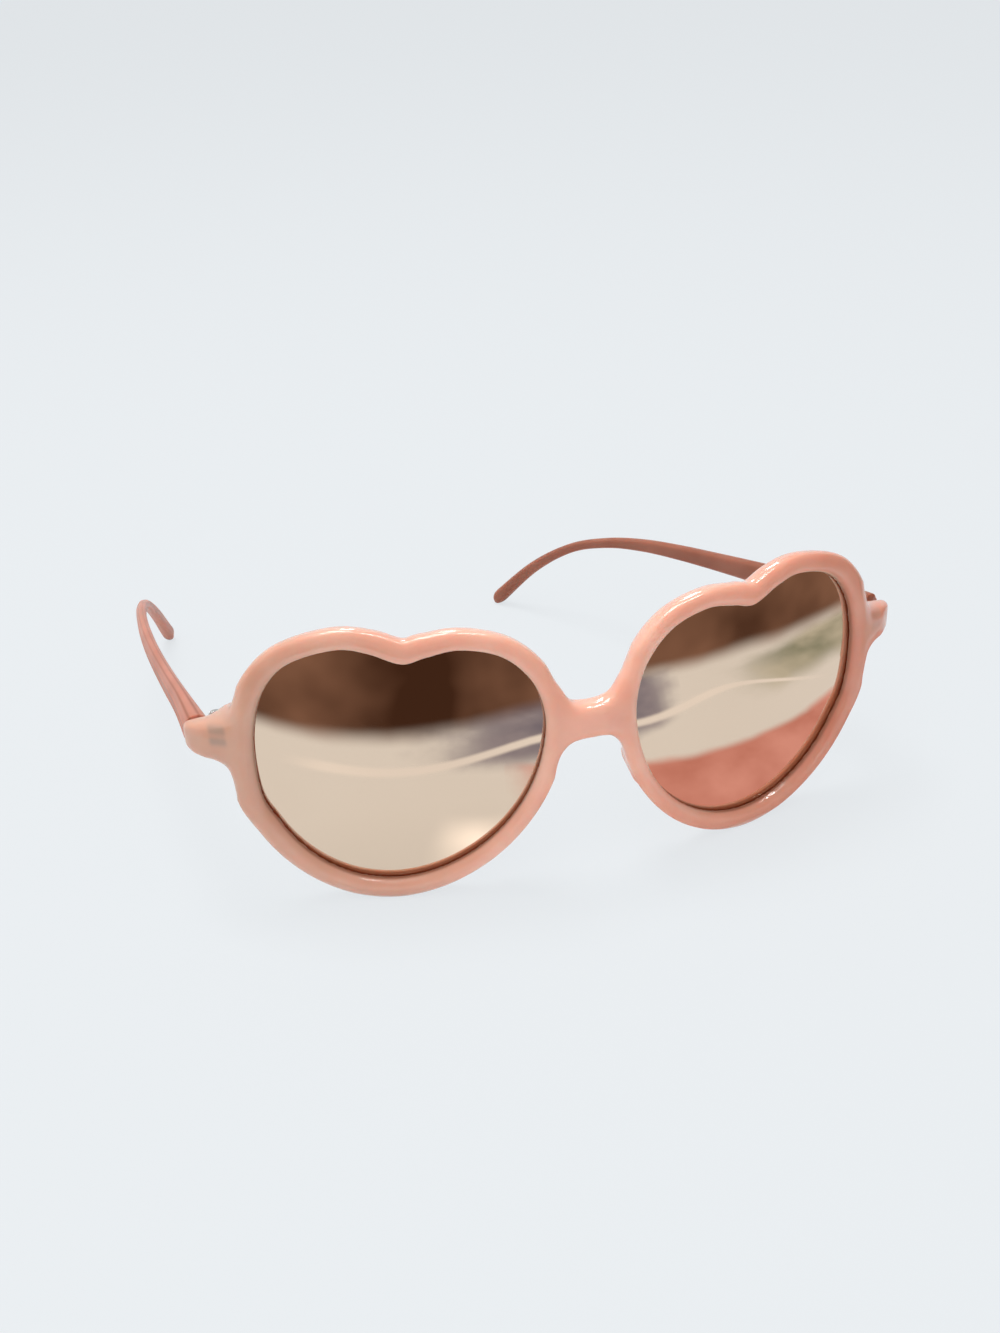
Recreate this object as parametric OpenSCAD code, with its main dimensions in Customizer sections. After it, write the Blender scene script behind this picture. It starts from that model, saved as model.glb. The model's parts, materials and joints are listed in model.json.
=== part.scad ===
// Heart shaped sunglasses: a translucent moulded front on a curved base, two mirrored lenses,
// two slim drop-ended temples, and a three-knuckle steel hinge with its screw at each side.
// Everything is drawn in the front's own axes first: X to the wearer's left, Y towards the
// ears, Z up, with zero on the face of the bridge. The last step stands it on the floor.

/* [Lens openings] */
// Distance from the middle of the face to the middle of each heart
lens_x = 34.6; // [31:0.5:38]
// Height of the hearts' middle against the bridge
lens_z = -6.9; // [-9:0.2:-4]
// Width of each heart shaped opening
lens_w = 51.8; // [44:0.5:56]
// Height of each heart shaped opening
lens_h = 51; // [42:0.5:56]
// Thickness of the lens
lens_t = 1.4; // [1.2:0.1:2.2]
// Gap between a lens and the groove that holds it
lens_gap = 0.08; // [0.05:0.01:0.2]

/* [Front] */
// Radius of the ball that the front and the lenses are curved to
base_r = 146; // [120:2:200]
// Width of the rim round each opening
rim_w = 4.4; // [3.6:0.1:5.5]
// Depth of the rim from face to back
rim_t = 4.8; // [4.6:0.1:6]
// How far the lens lies behind the face
lens_recess = 2.6; // [2:0.1:2.7]
// Depth of the lens groove in the rim
groove = 1.1; // [0.8:0.1:1.4]
// Height of the bridge at its middle
bridge_h = 7; // [5:0.2:9]
// Height of the bridge's middle above zero
bridge_z = 0; // [-1:0.1:1]
// Width over the two end pieces
front_w = 141.4; // [136:0.2:150]
// Height of the end piece where the temple butts
end_h = 7.6; // [6.6:0.2:9]
// Height of the end piece's middle above zero
end_z = 0.3; // [-1:0.1:2]
// Distance from the face of the bridge back to the temples' butt joints
butt_y = 22; // [20:0.2:25]
// How far the nose pads stand behind the rims
pad_reach = 2.6; // [2:0.1:6]

/* [Temples] */
// Length of a temple from the butt joint to its tip, straight back
temple_len = 113; // [105:1:128]
// Drop of the tip below the butt joint
temple_drop = 35.5; // [30:0.5:42]
// How far the tip bends inwards
temple_bow = 15.4; // [8:0.2:18]
// Height of the temple at the butt joint
temple_h = 6.4; // [5.2:0.2:7.6]
// Height of the temple's middle above the end piece's at the butt joint
temple_rise = 0.2; // [0:0.1:0.8]
// Thickness of the temple at the butt joint
temple_t = 4.5; // [3.8:0.1:5.4]
// Height of the raised lines along the outer face
rib_h = 0.3; // [0.1:0.05:0.5]
// Gap at the butt joint when the temple is fully open
butt_gap = 0.12; // [0.05:0.01:0.3]
// Outward splay of a fully open temple, in degrees
open_splay = 6; // [0:1:8]
// Outward angle of the wearer's right temple as it lies, in degrees
right_pose = 6; // [-86:0.5:6]
// Outward angle of the wearer's left temple as it lies, in degrees
left_pose = -18; // [-80:0.5:6]

/* [Hinges] */
// Radius of the knuckles
knuckle_r = 1.5; // [1.3:0.05:1.7]
// Height of the whole row of three knuckles
hinge_h = 3.8; // [3.2:0.2:5.4]
// Radius of the screw's shank
screw_r = 0.7; // [0.5:0.05:0.8]
// Clearance round the screw's shank
screw_gap = 0.03; // [0.01:0.01:0.08]
// Radius of the screw's head
head_r = 1.15; // [1:0.05:1.4]
// Height of the screw's head
head_h = 0.5; // [0.4:0.05:0.8]
// Thickness of the hinge plates
plate_t = 1; // [0.8:0.1:1.4]
// Gap between one knuckle and the next
knuckle_gap = 0.06; // [0.03:0.01:0.15]
// Gap between the knuckles and the inner side of the temple
axis_gap = 0.3; // [0.2:0.05:0.6]
// Gap round a plate in the plastic that holds it
pocket_gap = 0.04; // [0.02:0.01:0.1]

/* [Hidden] */
left = 1;
right = -1;
cut = 1;
stations = 72;
temple_steps = 40;

// How far along the heart each way its direction is averaged, which rounds the outer notch
soften_share = 0.038;
// The width of the rim round the heart, from the notch on, as shares of its full width
rim_w_share = [1.04, 0.9, 0.9, 0.95, 0.86, 0.82, 0.88, 0.79, 0.75, 0.82, 0.88, 0.88];

// The heart, as shares of the opening's width and height from its middle, from the notch
// round the outer lobe, the outer flank, the point, the nose side and the inner lobe
heart_shares = [
    [-0.018, 0.438], [0.086, 0.481], [0.182, 0.500], [0.312, 0.468], [0.400, 0.407],
    [0.467, 0.292], [0.498, 0.120], [0.488, -0.085], [0.440, -0.202], [0.376, -0.312],
    [0.286, -0.409], [0.169, -0.478], [0.033, -0.500], [-0.101, -0.470], [-0.218, -0.405],
    [-0.315, -0.318], [-0.393, -0.214], [-0.451, -0.096], [-0.488, 0.036], [-0.498, 0.180],
    [-0.457, 0.322], [-0.356, 0.431], [-0.216, 0.473], [-0.103, 0.457]];

function wrapped(list, i) = list[(i + len(list)) % len(list)];
function curve(a, b, c, d, t) =
    0.5 * (2 * b + (c - a) * t + (2 * a - 5 * b + 4 * c - d) * t * t
    + (3 * b - a - 3 * c + d) * t * t * t);
// A point on the closed curve through a list, for u from 0 to 1
function round_curve(list, u) = let (v = u * len(list), i = floor(v))
    curve(wrapped(list, i - 1), wrapped(list, i), wrapped(list, i + 1), wrapped(list, i + 2),
          v - i);
// A value on the open curve through a list, for u from 0 to 1
function along(list, u) = let (n = len(list) - 1, v = min(u, 1) * n, i = min(floor(v), n - 1))
    curve(i > 0 ? list[i - 1] : 2 * list[0] - list[1], list[i], list[i + 1],
          i < n - 1 ? list[i + 2] : 2 * list[n] - list[n - 1], v - i);
function unit(v) = v / norm(v);

// The base curve: y at a place of the front, a depth below the face
function ball_y(x, z, depth) = base_r - sqrt(pow(base_r - depth, 2) - x * x - z * z);
function shrink(depth) = (base_r - depth) / base_r;

// The opening's edge on the face, and the place a distance outwards from it
function edge(u) = let (p = round_curve(heart_shares, u))
    [lens_x + p.x * lens_w, lens_z + p.y * lens_h];
function outwards(u) = let (t = unit(edge(u + soften_share) - edge(u - soften_share)))
    [-t.y, t.x];
function beside(u, out) = edge(u) + outwards(u) * out;

// The rim's section from the inner front edge over the face and round the outside to the back
// lip, as shares of its width and depth: a fine bevel inside, a crowned face, a drawn-in back
section_share = [[0, 0.25], [0.1, 0.13], [0.3, 0.03], [0.54, 0], [0.78, 0.03], [0.95, 0.13],
                 [1, 0.34], [0.97, 0.6], [0.88, 0.83], [0.72, 0.96], [0.5, 1], [0.2, 0.98],
                 [0.07, 0.92]];
// A point of the rim's section: out from the opening's edge, at one depth for its place and
// another for its level, which differ only where a wall runs straight back
function rim_point(u, out, depth, level) =
    let (p = beside(u, out) * shrink(depth)) [p.x, ball_y(p.x, p.y, level), p.y];
lens_back = lens_recess + lens_t;
lens_mid = lens_recess + lens_t / 2;
function rim_ring(u) = let (
    w = rim_w * round_curve(rim_w_share, u), m = lens_mid,
    front_lip = lens_recess - lens_gap, back_lip = lens_back + lens_gap)
    concat([for (s = section_share) rim_point(u, s.x * w, s.y * rim_t, s.y * rim_t)],
           [rim_point(u, w * 0.07, m, back_lip), rim_point(u, groove, m, back_lip),
            rim_point(u, groove, m, front_lip), rim_point(u, 0, m, front_lip)]);

// A closed skin over rings of points, with ends or as a loop
module skin(rings, loop = false) {
    n = len(rings);
    m = len(rings[0]);
    last = loop ? n : n - 1;
    sides = [for (i = [0 : last - 1], j = [0 : m - 1], half = [0, 1])
        let (a = i * m, b = ((i + 1) % n) * m, k = (j + 1) % m)
        half == 0 ? [a + j, a + k, b + k] : [a + j, b + k, b + j]];
    ends = loop ? [] : [[for (j = [m - 1 : -1 : 0]) j], [for (j = [0 : m - 1]) (n - 1) * m + j]];
    polyhedron([for (r = rings, p = r) p], concat(sides, ends));
}
// Draws its children on the wearer's left, or mirrored on the right
module on_side(side) { mirror([side == left ? 0 : 1, 0, 0]) children(); }

module rim() { skin([for (i = [0 : stations - 1]) rim_ring(i / stations)], true); }

// The rim's outer reach towards the nose and towards the temple
nose_edge = lens_x - lens_w / 2 - rim_w;
side_edge = lens_x + lens_w / 2 + rim_w;

// A section across the front at x, from high to low and from the face to a given back
function bar_section(x, low, high, face, back) = let (
    h = high - low, c = min(h, back - face) * 0.28)
    [[x, face, high - c * 1.4], [x, face + c * 0.3, high - c * 0.4], [x, face + c, high],
     [x, back - c, high], [x, back - c * 0.2, high - c * 0.4], [x, back, high - c],
     [x, back, low + c], [x, back - c * 0.2, low + c * 0.4], [x, back - c, low],
     [x, face + c, low], [x, face + c * 0.3, low + c * 0.4], [x, face, low + c * 1.4]];

// The bridge: a bar that flares into both rims, more below than above. Its places are shares of
// the way to the rim, or of the way to the lens's groove where the rims come close together
bridge_unit = max(nose_edge, (nose_edge + rim_w - groove) * 0.555);
bridge_places_share = [-1.75, -1.45, -1.25, -1.05, -0.8, -0.5, 0, 0.5, 0.8, 1.05, 1.25, 1.45,
                       1.75];
bridge_top_share = [0.6, 0.68, 0.58, 0.3, 0.1, 0.02, 0, 0.02, 0.1, 0.3, 0.58, 0.68, 0.6];
bridge_low_share = [0.34, 0.4, 0.35, 0.2, 0.06, 0, 0, 0, 0.06, 0.2, 0.35, 0.4, 0.34];
bridge_face_share = [0.4, 0.26, 0.12, 0.05, 0.01, 0, 0, 0, 0.01, 0.05, 0.12, 0.26, 0.4];
module bridge() {
    skin([for (i = [0 : len(bridge_places_share) - 1])
        let (x = bridge_places_share[i] * bridge_unit,
             low = bridge_z - bridge_h * (0.5 + bridge_low_share[i]),
             high = bridge_z + bridge_h * (0.5 + bridge_top_share[i]))
        bar_section(x, low, high, ball_y(x, bridge_z, rim_t * bridge_face_share[i]),
                    ball_y(x, bridge_z, rim_t * (1 - bridge_face_share[i])))]);
}

// The hinge's axis stands just inside the temple and just behind the butt joint
end_side = front_w / 2;
axis_x = end_side - temple_t - knuckle_r - axis_gap;
axis_y = butt_y + knuckle_r + butt_gap;
anchor_w = knuckle_r * 2.6;

// The end piece goes from inside the rim out to the side of the temple, and holds the front
// leaf's plate. On a front so narrow, or a lens so wide, that the plate comes behind the lens,
// the end piece stands behind the lens and the rim's back
end_in = min(side_edge - rim_w * 0.85, axis_x - anchor_w / 2 - plate_t);
end_out = max(end_side, side_edge * shrink(rim_t));
lens_reach = (side_edge - rim_w + groove) * shrink(lens_mid);
behind = axis_x - anchor_w / 2 - plate_t < lens_reach;
function behind_y(x, z) = ball_y(min(x, lens_reach), z, lens_back + 2 * lens_gap);
plate_y = max(butt_y - 3 * plate_t, behind
              ? behind_y(axis_x + anchor_w / 2, hinge_h / 2) + plate_t * 0.3 + pocket_gap : 0);
// Its places are shares of the way out, and its heights shares of the end's height
end_places_share = [0, 0.16, 0.33, 0.5, 0.66, 0.8, 0.92, 1];
end_high_share = [1, 0.82, 0.64, 0.54, 0.48, 0.44, 0.4, 0.3];
end_low_share = [1.16, 0.92, 0.72, 0.58, 0.49, 0.42, 0.34, 0.21];
end_face_share = [0.04, 0.02, 0.01, 0.02, 0.06, 0.15, 0.32, 0.62];
module end_piece() {
    skin([for (i = [0 : len(end_places_share) - 1])
        let (x = end_in + (end_out - end_in) * end_places_share[i],
             low = end_z - end_h * end_low_share[i], back = butt_y - (i == 0 ? rim_t * 0.4 : 0),
             face = ball_y(x, end_z, 0),
             near = behind ? behind_y(x, low) : face + (back - face) * end_face_share[i])
        bar_section(x, low, end_z + end_h * end_high_share[i], near, back)]);
}

// A nose pad: a rounded ridge on the back of the rim beside the nose, through knobs that are
// given by a place along the heart and shares of the pad's reach and of the rim's width
pad_share = [[0.74, 0.3, 0.17], [0.71, 0.75, 0.25], [0.67, 1, 0.29], [0.63, 0.8, 0.25],
             [0.6, 0.35, 0.17]];
module pad_knob(knob) {
    r = rim_w * knob[2];
    p = beside(knob[0], rim_w * 0.48) * shrink(rim_t);
    sunk = r - (rim_t - lens_back) * 0.6;
    for (reach = [sunk, max(sunk, pad_reach * knob[1] - r)])
        translate([p.x, ball_y(p.x, p.y, rim_t) + reach, p.y])
            sphere(r, $fn = 16);
}
module nose_pad() {
    for (i = [0 : len(pad_share) - 2])
        hull() {
            pad_knob(pad_share[i]);
            pad_knob(pad_share[i + 1]);
        }
}

// The hinge's knuckles, three in a row
knuckle_h = (hinge_h - 2 * knuckle_gap) / 3;
module at_axis() { translate([axis_x, axis_y, end_z]) children(); }
module block(low, high) { translate(low) cube(high - low); }

// The front leaf's anchor: a plate across, and two tongues that reach back to the knuckles
tongue_w = knuckle_r * 1.7;
module front_anchor(grow) {
    deep = plate_y - axis_y;
    block([-anchor_w / 2 - grow, deep - grow, -hinge_h / 2 - grow],
          [anchor_w / 2 + grow, deep + plate_t + grow, hinge_h / 2 + grow]);
    for (low = [-hinge_h / 2, hinge_h / 2 - knuckle_h])
        block([-tongue_w / 2 - grow, deep, low + knuckle_gap - grow],
              [tongue_w / 2 + grow, 0, low + knuckle_h - knuckle_gap + grow]);
}
module screw_hole() {
    cylinder(h = hinge_h + 2 * cut, r = screw_r + screw_gap, center = true, $fn = 48);
}
module front_hinge(side) {
    color([0.72, 0.72, 0.7])
        on_side(side) at_axis()
            difference() {
                union() {
                    front_anchor(0);
                    for (low = [-hinge_h / 2, hinge_h / 2 - knuckle_h])
                        translate([0, 0, low]) cylinder(h = knuckle_h, r = knuckle_r, $fn = 48);
                }
                screw_hole();
            }
}

// The temple's hinge leaf, drawn fully straight: one knuckle, a tongue, and a plate that lies
// inside the temple along its length
temple_mid = end_side - temple_t / 2 - axis_x;
leaf_len = 2.4 * hinge_h;
leaf_h = 0.8 * hinge_h;
module temple_anchor(grow) {
    near = butt_y + butt_gap + plate_t - axis_y;
    block([0, near + knuckle_gap - grow, -knuckle_h / 2 + knuckle_gap - grow],
          [temple_mid, knuckle_r * 0.8 + grow, knuckle_h / 2 - knuckle_gap + grow]);
    block([temple_mid - plate_t / 2 - grow, near - grow, -leaf_h / 2 - grow],
          [temple_mid + plate_t / 2 + grow, near + leaf_len + grow, leaf_h / 2 + grow]);
}
module temple_hinge(side) {
    color([0.72, 0.72, 0.7])
        posed(side)
            difference() {
                union() {
                    temple_anchor(0);
                    cylinder(h = knuckle_h, r = knuckle_r, center = true, $fn = 48);
                }
                screw_hole();
            }
}

module hinge_screw(side) {
    color([0.78, 0.77, 0.74])
        on_side(side) at_axis()
            difference() {
                union() {
                    translate([0, 0, -hinge_h / 2])
                        cylinder(h = hinge_h + screw_gap, r = screw_r, $fn = 48);
                    translate([0, 0, hinge_h / 2 + screw_gap])
                        cylinder(h = head_h, r = head_r, $fn = 48);
                }
                block([-head_r - cut, -screw_r * 0.2, hinge_h / 2 + screw_gap + head_h / 2],
                      [head_r + cut, screw_r * 0.2, hinge_h / 2 + head_h + cut]);
            }
}

// Draws a temple's pieces from the hinge's axis at the angle in which they lie
function pose(side) = side == left ? left_pose : right_pose;
module posed(side) { on_side(side) at_axis() rotate([0, 0, -pose(side)]) children(); }

// The temple, from the butt joint back: its drop, height and thickness as shares at equal
// steps along its length
drop_share = [0, 0.02, 0.06, 0.1, 0.14, 0.18, 0.227, 0.3, 0.425, 0.655, 1];
tall_share = [1, 0.97, 0.88, 0.77, 0.66, 0.57, 0.48, 0.39, 0.36, 0.435, 0.565];
thick_share = [1, 0.69, 0.61, 0.57, 0.55, 0.52, 0.48, 0.46, 0.46, 0.52, 0.62];
// A temple's section: outwards as shares of its thickness, up as shares of its height, and
// how much of the raised line stands on it
temple_section_share = [
    [-0.5, -0.26, 0], [-0.32, -0.44, 0], [0, -0.5, 0], [0.3, -0.42, 0], [0.44, -0.27, 0],
    [0.46, -0.18, 1], [0.46, -0.09, 0], [0.46, 0.09, 0], [0.46, 0.18, 1], [0.44, 0.27, 0],
    [0.3, 0.42, 0], [0, 0.5, 0], [-0.32, 0.44, 0], [-0.5, 0.26, 0]];
tip_share = 0.02;
function temple_line(s) =
    [-temple_bow * (0.05 * s * s + 0.95 * pow(s, 3.5)), s * temple_len,
     -temple_drop * along(drop_share, s)];
// The butt face is square to the end piece when the temple stands at its full splay
butt_start = [temple_mid, (butt_y + butt_gap - axis_y + temple_mid * sin(open_splay))
              / cos(open_splay), temple_rise];
butt_ahead = [-sin(open_splay), cos(open_splay), 0];
near_share = 0.01;
function temple_ring(s) = let (
    ahead = s == 0 ? butt_ahead : unit(temple_line(s + near_share) - temple_line(s - near_share)),
    up = unit([0, 0, 1] - ahead.z * ahead), out = cross(ahead, up),
    over = max(0, (s - 1 + tip_share) / tip_share), small = sqrt(max(0, 1 - over * over)),
    tall = temple_h * along(tall_share, s) * small,
    thick = temple_t * along(thick_share, s) * small)
    [for (p = temple_section_share)
        butt_start + temple_line(s)
        + out * (p.x * thick + p[2] * rib_h * (1 - s)) + up * p.y * tall];
temple_places = concat([for (i = [0 : temple_steps]) (1 - tip_share) * i / temple_steps],
                       [for (over = [0.4, 0.7, 0.9, 0.98]) 1 - tip_share * (1 - over)]);
temple_rings = [for (s = temple_places) temple_ring(s)];
module temple(side) {
    color([0.80, 0.53, 0.44])
        posed(side)
            difference() {
                skin(temple_rings);
                temple_anchor(pocket_gap);
            }
}

module front_frame() {
    color([0.87, 0.62, 0.53])
        difference() {
            union() {
                for (side = [left, right])
                    on_side(side) {
                        rim();
                        end_piece();
                        nose_pad();
                    }
                bridge();
            }
            for (side = [left, right])
                on_side(side) at_axis() front_anchor(pocket_gap);
        }
}

module lens(side) {
    color([0.45, 0.29, 0.24])
        on_side(side)
            intersection() {
                rotate([90, 0, 0])
                    translate([0, 0, -base_r])
                        linear_extrude(base_r)
                            polygon([for (i = [0 : stations - 1])
                                beside(i / stations, groove - lens_gap) * shrink(lens_mid)]);
                translate([0, base_r, 0])
                    difference() {
                        sphere(base_r - lens_recess, $fn = 240);
                        sphere(base_r - lens_back, $fn = 240);
                    }
            }
}

// How the glasses stand: on the points of both hearts and on the tip that reaches lowest.
// The whole is leaned until these are level, lifted onto the floor and centred over its middle
function posed_point(p, side) = let (c = cos(-pose(side)), s = sin(-pose(side)))
    [side * (axis_x + p.x * c - p.y * s), axis_y + p.x * s + p.y * c, end_z + p.z];
front_points = [for (i = [0 : stations - 1], p = rim_ring(i / stations)) p];
tip_points = [for (side = [left, right]) [for (r = temple_rings, p = r) posed_point(p, side)]];
function lowest(points) = let (z = min([for (p = points) p.z]))
    [for (p = points) if (p.z == z) p][0];
rim_foot = lowest(front_points);
lean = max([for (points = tip_points) let (tip = lowest(points))
    atan2(rim_foot.z - tip.z, tip.y - rim_foot.y)]);
function leaned(p) = [p.x, p.y * cos(lean) - p.z * sin(lean), p.y * sin(lean) + p.z * cos(lean)];
all_points = [for (list = concat([front_points], tip_points), p = list) leaned(p)];
middle_x = (max(end_side, max([for (p = all_points) p.x]))
            + min(-end_side, min([for (p = all_points) p.x]))) / 2;
middle_y = (max([for (p = all_points) p.y]) + min([for (p = all_points) p.y])) / 2;
lift = -min([for (p = all_points) p.z]);
module stand() { translate([-middle_x, -middle_y, lift]) rotate([lean, 0, 0]) children(); }

stand() front_frame();
stand() lens(left);  // lens_left
stand() lens(right);  // lens_right
stand() temple(left);  // temple_left
stand() temple(right);  // temple_right
stand() front_hinge(left);  // front_hinge_left
stand() front_hinge(right);  // front_hinge_right
stand() temple_hinge(left);  // temple_hinge_left
stand() temple_hinge(right);  // temple_hinge_right
stand() hinge_screw(left);  // hinge_screw_left
stand() hinge_screw(right);  // hinge_screw_right
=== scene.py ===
# %% [markdown]
# # Heart shaped sunglasses
# This notebook dresses a imported CAD model of moulded sunglasses: a milky peach front with two
# heart shaped rims, mirrored lenses, slim temples and small steel hinges. The CAD model is the
# fixed frame, and we load it first.

# %% Load the frame
import json
import math

import bmesh
import bpy
import numpy as np
from mathutils import Euler, Matrix, Vector

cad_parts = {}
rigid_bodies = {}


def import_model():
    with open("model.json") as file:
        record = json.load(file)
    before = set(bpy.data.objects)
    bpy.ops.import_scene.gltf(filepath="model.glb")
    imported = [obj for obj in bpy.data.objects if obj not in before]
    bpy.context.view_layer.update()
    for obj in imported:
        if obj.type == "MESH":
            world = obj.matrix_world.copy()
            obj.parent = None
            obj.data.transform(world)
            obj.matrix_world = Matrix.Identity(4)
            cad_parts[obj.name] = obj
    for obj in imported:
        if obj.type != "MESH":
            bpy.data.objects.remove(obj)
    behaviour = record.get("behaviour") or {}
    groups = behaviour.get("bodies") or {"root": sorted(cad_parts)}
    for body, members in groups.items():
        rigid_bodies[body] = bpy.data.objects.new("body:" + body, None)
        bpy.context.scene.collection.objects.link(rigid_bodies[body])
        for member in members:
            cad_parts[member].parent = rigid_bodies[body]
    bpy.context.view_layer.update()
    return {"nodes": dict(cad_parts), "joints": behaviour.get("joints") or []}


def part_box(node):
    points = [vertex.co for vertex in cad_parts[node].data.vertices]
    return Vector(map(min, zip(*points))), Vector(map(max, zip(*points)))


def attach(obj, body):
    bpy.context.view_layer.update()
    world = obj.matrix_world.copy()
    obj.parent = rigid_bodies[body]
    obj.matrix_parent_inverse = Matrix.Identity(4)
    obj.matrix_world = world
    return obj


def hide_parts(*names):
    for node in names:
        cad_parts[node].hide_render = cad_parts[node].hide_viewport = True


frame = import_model()

# %% [markdown]
# ## One set of axes for drawing
# The front is easiest to draw in its own axes: X to the wearer's left, Y towards the ears, Z up,
# zero on the face of the bridge, in millimetres. The finished glasses lean a little, because
# they stand on the points of the hearts and on a temple tip. The two hinge joints of the record
# tell where the front's axes ended up, so we read the lean and the shift from them.

# %% Work out the placement from the hinges
AXIS_X, AXIS_Y, END_Z = 64.4, 23.62, 0.3
joints = {joint["name"]: joint for joint in frame["joints"]}
left_hinge = Vector(joints["left_fold"]["pos_m"])
right_hinge = Vector(joints["right_fold"]["pos_m"])
hinge_up = Vector(joints["left_fold"]["axis"])
lean = math.atan2(-hinge_up.y, hinge_up.z)
turn_and_scale = Matrix.Rotation(lean, 4, "X") @ Matrix.Scale(0.001, 4)
drawn_hinge = Vector((AXIS_X, AXIS_Y, END_Z))
STAND = Matrix.Translation(left_hinge - turn_and_scale @ drawn_hinge) @ turn_and_scale
print("lean in degrees:", round(math.degrees(lean), 3))
print("hinges are", round((left_hinge.x - right_hinge.x) * 1000, 2), "mm apart, drawn", 2 * AXIS_X)

# %% [markdown]
# ## The camera
# The photograph is tilted: the camera looked down from the upper left and was rolled a little.
# Its turn, its distance and its focal length were fitted to the outlines of both hearts. The
# image counts as 1000 by 1333 pixels, and the sensor's width belongs to the long side.

# %% Place the camera
FOCAL_PX, LONG_SIDE_PX, SENSOR_MM = 1517.76, 1333, 36
z_becomes_y = Matrix(((1, 0, 0), (0, 0, -1), (0, 1, 0)))
camera_turn = Euler((0.50438, -0.25160, -0.17209)).to_matrix() @ z_becomes_y
camera_step = Vector((16.691, 9.813, 273.571))
fit_centre = Vector((0, 1.2, 0))
eye = STAND @ (fit_centre - camera_turn.transposed() @ camera_step)
look = Matrix((camera_turn[0], -camera_turn[1], -camera_turn[2])).transposed()
camera = bpy.data.objects.new("camera", bpy.data.cameras.new("camera"))
camera.matrix_world = Matrix.Translation(eye) @ (Matrix.Rotation(lean, 3, "X") @ look).to_4x4()
camera.data.sensor_width = SENSOR_MM
camera.data.lens = SENSOR_MM * FOCAL_PX / LONG_SIDE_PX
camera.data.clip_start, camera.data.clip_end = 0.01, 20
bpy.context.scene.collection.objects.link(camera)
bpy.context.scene.camera = camera
print("camera at", [round(v, 4) for v in eye], "lens", round(camera.data.lens, 2), "mm")

# %% [markdown]
# ## A short way to build node trees
# Both the materials and the Geometry Nodes trees are built in code. A helper that adds one node,
# sets its options and joins its inputs keeps each tree readable.

# %% Node helpers
def add(tree, kind, inputs=None, **options):
    """Adds a node to a tree. A value in inputs is set, and a socket is linked."""
    node = tree.nodes.new(kind)
    for name, value in options.items():
        setattr(node, name, value)
    for key, value in (inputs or {}).items():
        if isinstance(value, bpy.types.NodeSocket):
            tree.links.new(value, node.inputs[key])
        else:
            node.inputs[key].default_value = value
    return node


def calc(tree, operation, a, b=0.0):
    return add(tree, "ShaderNodeMath", {0: a, 1: b}, operation=operation).outputs[0]


def vector_calc(tree, operation, a, b):
    key = "Scale" if operation == "SCALE" else 1
    node = add(tree, "ShaderNodeVectorMath", {0: a, key: b}, operation=operation)
    return node.outputs["Value" if operation == "DOT_PRODUCT" else "Vector"]


def noise(tree, place, scale, detail=3.0):
    inputs = {"Vector": place, "Scale": scale, "Detail": detail}
    return add(tree, "ShaderNodeTexNoise", inputs).outputs["Fac"]


def ranged(tree, value, low, high, new_low=0.0, new_high=1.0, **options):
    inputs = {0: value, 1: low, 2: high, 3: new_low, 4: new_high}
    return add(tree, "ShaderNodeMapRange", inputs, **options).outputs[0]


def mixed(tree, share, a, b, **options):
    """One colour turning into another."""
    inputs = {0: share, 6: a, 7: b}
    return add(tree, "ShaderNodeMix", inputs, data_type="RGBA", **options).outputs[2]


def new_material(name):
    material = bpy.data.materials.new(name)
    material.use_nodes = True
    return material, material.node_tree, material.node_tree.nodes["Principled BSDF"]


def settle(shader, **values):
    """Sets plain values on the shader's own sockets."""
    for name, value in values.items():
        shader.inputs[name.replace("_", " ")].default_value = value


print("helpers ready in Blender", bpy.app.version_string)

# %% [markdown]
# ## The milky plastic
# The real frame is injection moulded in a clear resin with a little white and peach pigment.
# Light goes in, scatters and comes out warmer, and thin places let the metal inside show. So the
# shader scatters light below the surface, lets some light through blurred, and carries a clear
# coat for the sharp polish on top. Faint clouds in the pigment come from noise on Object
# coordinates. A ramp along X paints shade into the colour: the front darker towards both ends,
# the temple on the wearer's left darker than the other. An attribute darkens the narrow wall
# round each lens: partly the brown edge of the lens showing through the plastic, partly painted
# shade in that recess. On a temple it darkens the lines along it and two streaks on the shoulder.
# A second attribute, metal_inside, greys the end pieces where a hinge's plate lies behind thin
# plastic.

# %% Plastic materials
SIDE_SHADE_REACH = 0.07
METAL_THROUGH = (0.30, 0.24, 0.20, 1)


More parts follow.
